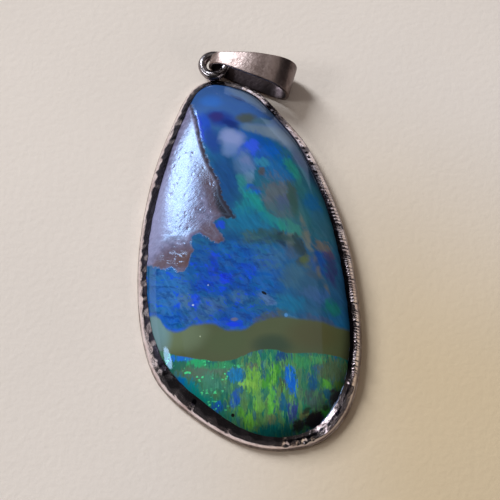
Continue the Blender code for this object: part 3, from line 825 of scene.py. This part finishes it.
def make_green_field(g, ragged):
    """The lower field: upright blades of green, yellow-green, teal and blue."""
    blades = g.warp(g.plan, 0.7, 0.12)
    hue, flash = cells(g, g.warp(blades, 0.25, 0.08), 0.42, (0.7, 2.4), 2)[:2]
    tones = g.ramp(hue, [
        (0.0, (14, 84, 92)), (0.22, (30, 118, 100)), (0.42, (64, 134, 70)),
        (0.6, (112, 156, 72)), (0.78, (66, 104, 102)), (1.0, (34, 88, 150)),
    ])
    ground = g.mix(g.step(g.noise(ragged, 1.2, 2), 0.35, 0.65), rgb(36, 112, 100), rgb(78, 124, 88))
    colour = g.mix(g.step(g.x, -3.0, -1.5, 0.55), ground, tones)
    torn = g.warp(g.warp(g.plan, 0.8, 0.25), 0.24, 0.14, 3)
    colour = ellipses(g, colour, GREEN, torn, tears(g, blades, 3, (0.45, 1.8), 0.3, 4.0))
    fine = g.noise(g.mapped(g.warp(blades, 0.25, 0.05), 3, (0.4, 2.2)), 0.28, 4, 0.65)
    streaky = g.shade(colour, g.between(fine, 0.25, 1.85))
    colour = g.mix(g.step(g.x, -4.0, -2.0, 0.95), colour, streaky)
    bright = g.times(g.step(flash, 0.5, 0.9), g.step(fine, 0.44, 0.56))
    centre = g.blob(g.plan, (1.2, -11.4), (3.0, 3.4), 0, 0.6, 0.8)
    colour = g.mix(g.times(bright, centre), colour, rgb(126, 204, 70))
    spark = cells(g, g.warp(g.plan, 0.3, 0.05), 0.15, (1.2, 0.8), 10)[1]
    spark = g.times(g.step(spark, 0.78, 0.88), g.step(g.noise(g.plan, 0.8, 1), 0.52, 0.64))
    spark = g.times(spark, g.step(g.x, 0.5, -1.5))
    return g.mix(spark, colour, rgb(90, 232, 150))


def make_olive_field(g):
    """The plain olive potch between the two fields of colour."""
    colour = g.mix(g.noise(g.plan, 2.5, 2), rgb(84, 92, 58), rgb(94, 98, 64))
    return ellipses(g, colour, OLIVE, g.plan)


def make_ironstone_colour(g, inside):
    """Brown ironstone with a mauve-grey that is partly its own colour and partly a painted lavender sheen,
    dark along its upper right border.
    """
    mottle = g.noise(g.plan, 0.5, 4, 0.6)
    # Painted sheen: the mauve-grey base is lighter and more lavender than the ironstone's own brown, standing
    # in for the window's broad reflection.
    colour = g.mix(g.step(mottle, 0.35, 0.65), rgb(98, 90, 114), rgb(128, 120, 148))
    colour = ellipses(g, colour, BROWN, g.warp(g.plan, 0.6, 0.2, 3))
    ragged_rim = g.math("MULTIPLY_ADD", mottle, 0.7, g.math("SUBTRACT", inside, 0.35))
    rim = g.times(g.step(ragged_rim, 0.4, 0.1), g.step(g.y, 2.0, 3.5, 0.88))
    colour = g.mix(rim, colour, rgb(46, 30, 34))
    grit = g.noise(g.mapped(g.plan, 52, (3, 0.6)), 0.12, 3)
    return g.shade(colour, g.between(grit, 0.7, 1.3))


def make_opal_material():
    """Boulder opal: silky blue, play of colour, an olive potch band, green blades, and ironstone."""
    g = Graph("boulder_opal")
    soft_plan = g.warp(g.plan, 1.6, 0.22)
    ragged = g.warp(g.warp(g.plan, 1.1, 0.38), 0.32, 0.11, 3)
    cloud = g.step(g.noise(soft_plan, 2.2, 3), 0.35, 0.65)
    upper = g.mix(cloud, rgb(22, 84, 128), rgb(32, 100, 142))
    upper = g.mix(g.step(g.y, 8.5, 11.5), upper, rgb(64, 100, 160))
    upper = ellipses(g, upper, GROUND, soft_plan)
    torn = tears(g, soft_plan, -30, (2.5, 0.8), 0.7, 0.4)
    upper = ellipses(g, upper, SILK, g.warp(soft_plan, 0.9, 0.2, 3), torn)
    torn = tears(g, g.warp(g.plan, 1.4, 0.3), -58, (2.0, 0.7), 0.5, 2.6)
    upper = ellipses(g, upper, PLAY, ragged, torn)
    upper = play_of_colour(g, upper, ragged)
    upper = ellipses(g, upper, HAZE, g.warp(soft_plan, 0.9, 0.25, 3))
    x, y = g.split(g.warp(g.plan, 0.6, 0.12))[:2]
    crack = g.math("ABSOLUTE", g.line_offset(y, x, CRACK))
    crack = g.math("ADD", crack, g.step(g.y, 2.0, 3.4, 0.3))
    crack = g.math("ADD", crack, g.step(g.y, -3.4, -4.4, 0.3))
    crack = g.times(g.step(crack, 0.30, 0.0), g.step(g.noise(g.plan, 0.9, 2), 0.25, 0.6))
    upper = g.mix(g.times(crack, 0.7), upper, rgb(112, 110, 94))

    x, y = g.split(g.warp(g.plan, 0.5, 0.07, 3))[:2]
    top = g.line_offset(x, y, BAND_TOP)
    bottom = g.line_offset(x, y, BAND_BOTTOM)
    glow = g.step(g.math("ABSOLUTE", g.math("SUBTRACT", top, 0.14)), 0.26, 0.02)
    glow = g.times(glow, g.step(g.noise(g.plan, 0.9, 2), 0.36, 0.62, 0.8))
    upper = g.mix(g.times(glow, g.step(g.x, 1.0, -0.2)), upper, rgb(40, 96, 214))
    colour = g.mix(g.step(top, -0.16, 0.2), make_olive_field(g), upper)
    colour = g.mix(g.step(bottom, 0.04, -0.06), colour, make_green_field(g, ragged))
    torn = tears(g, g.plan, 30, (1.2, 0.8), 0.3, 1.6)
    colour = ellipses(g, colour, BLOTCHES, g.warp(g.plan, 0.5, 0.2, 3), torn)
    colour = ellipses(g, colour, FLECKS, g.warp(g.plan, 0.3, 0.03))

    # Painted shade: the colour darkens near the stone's edge, more on the right side than the left, for the
    # shade and dark reflection at the dome's steep rim.
    rim = g.attribute("rim")
    side = g.between(g.step(g.x, -3.0, 4.0), 0.3, 0.75)
    dark = g.times(g.step(rim, 0.84, 0.96), side)
    colour = g.shade(colour, g.math("SUBTRACT", 1.0, dark))

    inside = g.attribute("ironstone")
    frayed = g.math("ADD", inside, g.between(g.noise(g.plan, 0.3, 4, 0.6), -0.3, 0.3))
    stone = g.step(frayed, -0.08, 0.1)
    edge = g.step(g.math("ABSOLUTE", g.math("ADD", frayed, 0.14)), 0.3, 0.0, 0.8)
    edge = g.times(edge, g.times(g.step(g.y, 8.4, 9.6), g.step(g.y, 12.2, 11.2)))
    colour = g.mix(edge, colour, rgb(22, 44, 200))
    colour = g.mix(stone, colour, make_ironstone_colour(g, inside))
    g.set("Base Color", colour)

    grain = g.noise(g.plan, 0.12, 3)
    crinkles = g.noise(g.mapped(g.warp(g.plan, 0.5, 0.1), -12, (1.9, 0.9)), 0.3, 4, 0.6)
    dull = g.times(g.step(g.y, 1.1, -0.1), g.step(crinkles, 0.60, 0.52, 0.55))
    dull = g.math("MAXIMUM", dull, g.step(inside, 0.45, 0.15, 0.65))
    rough = g.math("ADD", g.between(grain, 0.18, 0.28), dull)
    g.set("Roughness", g.mix_value(stone, 0.07, rough))
    g.set("Specular IOR Level", 0.9)
    g.set("IOR", 1.45)
    g.set("Specular Tint", rgb(178, 212, 255))
    scratch = g.noise(g.mapped(g.warp(g.plan, 0.8, 0.1), 48, (2.2, 0.7)), 0.2, 3)
    relief = g.times(g.math("ADD", scratch, g.noise(g.plan, 0.3, 4, 0.6)), stone)
    g.set("Normal", g.bump(relief, 0.009))
    return g.material


# Silver finishes: tint, tarnish, roughness where clean and where dull, and the colour of the dark mask, which
# is partly patina and partly painted shade and dark reflection
SILVERS = {
    "burnished_silver": ((250, 240, 246), (206, 188, 190), 0.10, 0.24, (56, 54, 66)),
    "ring_silver": ((150, 142, 144), (76, 68, 70), 0.16, 0.34, None),
    "bail_silver": ((168, 148, 142), (118, 100, 94), 0.32, 0.48, (52, 44, 48)),
    "plate_silver": ((200, 184, 176), (140, 120, 110), 0.3, 0.5, None),
}


def silver(name):
    """Silver with clouded tarnish, scratches and small dents, and where the finish has one, a dark colour
    laid by a stored mask that is partly patina and partly painted shade and dark reflection.
    """
    tint, tarnish, rough, dull, black = SILVERS[name]
    g = Graph(name)
    cloud = g.noise(g.place, 1.6, 4, 0.6)
    spots = g.noise(g.place, 0.28, 3, 0.6)
    share = g.step(g.math("MULTIPLY_ADD", spots, 0.35, cloud), 0.55, 0.85)
    colour = g.mix(share, rgb(*tint), rgb(*tarnish))
    if black:
        # Painted shade and dark reflection, with some patina, laid in by the stored mask.
        patina_and_painted_shade = g.attribute("patina_and_painted_shade")
        colour = g.mix(patina_and_painted_shade, colour, rgb(*black))
    g.set("Base Color", colour)
    g.set("Metallic", 1.0)
    streak = g.noise(g.mapped(g.place, 34, (2.4, 0.5)), 0.14, 3)
    worn = g.times(g.math("ADD", share, streak), 0.55)
    g.set("Roughness", g.between(worn, rough, dull))
    dents = g.bump(g.noise(g.place, 0.35, 2), 0.02)
    g.set("Normal", g.bump(streak, 0.008, Normal=dents))
    return g.material


def give(item, material):
    """Makes the material the item's only one."""
    item.data.materials.clear()
    item.data.materials.append(material)


def make_floor():
    """Plain cream paper, with painted shade that makes it darker and warmer towards the lower right."""
    bpy.ops.mesh.primitive_plane_add(size=FLOOR_SIZE, location=(0, 0, 0))
    floor = bpy.context.object
    floor.name = "paper"
    g = Graph("cream_paper")
    cloud = g.noise(g.place, 22, 3)
    # Painted shade: the paper turns darker and warmer towards the lower right, beside and below the pendant.
    painted_shade_lower_right = g.step(g.math("MULTIPLY_ADD", g.x, 0.35, g.y), 22, -6)
    painted_shade_lower_right = g.times(painted_shade_lower_right, g.step(g.x, -8, 14))
    colour = g.mix(painted_shade_lower_right, rgb(236, 219, 205), rgb(220, 193, 156))
    g.set("Base Color", g.shade(colour, g.between(cloud, 0.93, 1.07)))
    g.set("Roughness", 0.9)
    g.set("Normal", g.bump(g.noise(g.place, 0.5, 4), 0.03))
    give(floor, g.material)


# Area lights: name, direction from the pendant, distance and size in metres, power, colour, shape
LIGHTS = [
    ("window", (-0.553, 0.570, 0.608), 1.50, (0.38, 0.78), 24.5, (0.82, 0.91, 1.0), "RECTANGLE"),
    ("left_fill", (-0.93, 0.22, 0.30), 0.60, (0.50, 0.20), 0.30, (1.0, 0.95, 0.92), "RECTANGLE"),
    ("left_glow", (-0.807, -0.125, 0.578), 0.50, (0.13, 0.13), 0.42, (0.9, 0.96, 1.0), "ELLIPSE"),
    ("right_glow", (0.732, -0.494, 0.469), 0.50, (0.26, 0.08), 0.24, (1.0, 0.95, 0.97), "RECTANGLE"),
    ("back_glow", (0.395, 0.886, 0.24), 0.50, (0.36, 0.20), 0.20, (0.95, 0.94, 1.0), "RECTANGLE"),
    ("ceiling", (0.0, 0.25, 0.97), 0.70, (0.80, 0.80), 0.62, (1.0, 0.94, 0.88), "RECTANGLE"),
]
ROOM_COLOUR = (220, 214, 214)
ROOM_STRENGTH = 0.035


def make_lights():
    """A window to the upper left with weak fills round it, all facing the pendant, and a dim room."""
    for name, towards, distance, size, power, colour, shape in LIGHTS:
        light = bpy.data.lights.new(name, "AREA")
        light.shape, light.energy, light.color = shape, power, colour
        light.size, light.size_y = size
        item = link_object(name, light)
        direction = Vector(towards).normalized()
        item.location = direction * distance
        item.rotation_mode = "QUATERNION"
        item.rotation_quaternion = direction.to_track_quat("Z", "Y")
    scene.world = world = scene.world or bpy.data.worlds.new("studio")
    world.use_nodes = True
    background = world.node_tree.nodes["Background"]
    background.inputs["Color"].default_value = rgb(*ROOM_COLOUR)
    background.inputs["Strength"].default_value = ROOM_STRENGTH
    scene.view_settings.view_transform = "Standard"


def make_camera():
    """A camera at the photograph's angle."""
    camera = bpy.data.cameras.new("camera")
    camera.sensor_width = SENSOR
    camera.lens = PIXELS_PER_MM * CAMERA_DISTANCE / FRAME_PIXELS * SENSOR
    camera.clip_start, camera.clip_end = CLIP
    item = link_object("camera", camera)
    back = Vector((0, -math.cos(CAMERA_ELEVATION), math.sin(CAMERA_ELEVATION)))
    item.location = (Vector(CAMERA_TARGET) + back * CAMERA_DISTANCE) * MM
    item.rotation_mode = "QUATERNION"
    item.rotation_quaternion = back.to_track_quat("Z", "Y")
    bpy.context.scene.camera = item


def main():
    give(make_stone(), make_opal_material())
    give(make_bezel(), silver("burnished_silver"))
    give(make_ring(), silver("ring_silver"))
    give(make_bail(), silver("bail_silver"))
    give(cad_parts["back_plate"], silver("plate_silver"))
    make_floor()
    make_lights()
    make_camera()


main()
